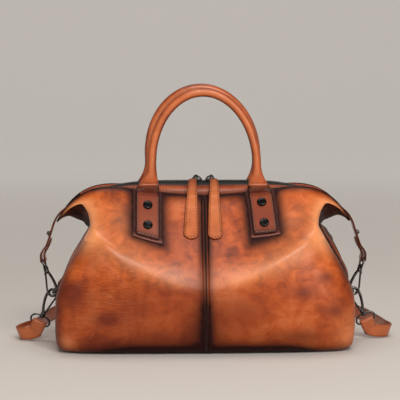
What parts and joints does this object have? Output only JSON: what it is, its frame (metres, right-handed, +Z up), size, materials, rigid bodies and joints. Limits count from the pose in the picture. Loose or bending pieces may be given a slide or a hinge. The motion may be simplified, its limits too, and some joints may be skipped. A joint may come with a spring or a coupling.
{
  "type": "handbag",
  "caption": "Soft leather handbag with winged top corners, rolled handles on riveted tabs, a zipped mouth, and a shoulder strap clipped to rings at its sides by swivel snap hooks.",
  "frame": {"origin": "centre of the flat base, on the surface that the bag stands on", "axes": "+Z up, -Y to the front with the zip pulls, +X to the right as seen from the front"},
  "size_m": [0.5245, 0.3817, 0.3567],
  "materials": {
    "leather": "waxed, satin",
    "pull_leather": "smooth, satin",
    "patch_leather": "waxed, satin",
    "gunmetal": "dark, half gloss",
    "zip_tape": "woven, matt",
    "zip_teeth": "half matt",
    "thread": "waxed thread"
  },
  "bodies": {
    "bag": {"back_panel_left": "leather", "back_panel_right": "leather", "base_panel": "leather", "front_panel_left": "leather", "front_panel_right": "leather", "gusset_left": "leather", "gusset_right": "leather", "handle_back": "leather", "handle_front": "leather", "handle_patch_back_left": "patch_leather", "handle_patch_back_right": "patch_leather", "handle_patch_front_left": "patch_leather", "handle_patch_front_right": "patch_leather", "rivet_back_left_lower": "gunmetal", "rivet_back_left_upper": "gunmetal", "rivet_back_right_lower": "gunmetal", "rivet_back_right_upper": "gunmetal", "rivet_front_left_lower": "gunmetal", "rivet_front_left_upper": "gunmetal", "rivet_front_right_lower": "gunmetal", "rivet_front_right_upper": "gunmetal", "shoulder_strap": "leather", "side_d_ring_left": "gunmetal", "side_d_ring_right": "gunmetal", "side_loop_left": "leather", "side_loop_right": "leather", "strap_eye_left": "gunmetal", "strap_eye_right": "gunmetal", "strap_hook_left": "gunmetal", "strap_hook_right": "gunmetal", "tab_stud_left": "gunmetal", "tab_stud_right": "gunmetal", "wing_eye_left": "gunmetal", "wing_eye_right": "gunmetal", "wing_hook_left": "gunmetal", "wing_hook_right": "gunmetal", "wing_tab_left": "leather", "wing_tab_right": "leather", "zip_band_back": "leather", "zip_band_front": "leather", "zip_chain": "zip_teeth", "zip_pull_left": "pull_leather", "zip_pull_right": "pull_leather", "zip_slider_left": "gunmetal", "zip_slider_right": "gunmetal", "zip_tape": "zip_tape"},
    "wing_gate_left": {"wing_gate_left": "gunmetal"},
    "wing_gate_right": {"wing_gate_right": "gunmetal"},
    "strap_gate_left": {"strap_gate_left": "gunmetal"},
    "strap_gate_right": {"strap_gate_right": "gunmetal"}
  },
  "joints": [
    {"name": "wing_gate_left_hinge", "type": "hinge", "parent": "bag", "child": "wing_gate_left", "pos_m": [-0.2194, -0.0022, 0.09494], "axis": [0, -1, 0], "range_deg": [0, 20], "stiffness_Nm_per_rad": 0.02, "springref_deg": -5.73},
    {"name": "wing_gate_right_hinge", "type": "hinge", "parent": "bag", "child": "wing_gate_right", "pos_m": [0.2194, -0.0022, 0.09494], "axis": [0, 1, 0], "range_deg": [0, 20], "stiffness_Nm_per_rad": 0.02, "springref_deg": -5.73},
    {"name": "strap_gate_left_hinge", "type": "hinge", "parent": "bag", "child": "strap_gate_left", "pos_m": [-0.21943, 0.0024, 0.04154], "axis": [0, -1, 0], "range_deg": [0, 20], "stiffness_Nm_per_rad": 0.02, "springref_deg": -5.73},
    {"name": "strap_gate_right_hinge", "type": "hinge", "parent": "bag", "child": "strap_gate_right", "pos_m": [0.21943, 0.0024, 0.04154], "axis": [0, 1, 0], "range_deg": [0, 20], "stiffness_Nm_per_rad": 0.02, "springref_deg": -5.73}
  ]
}
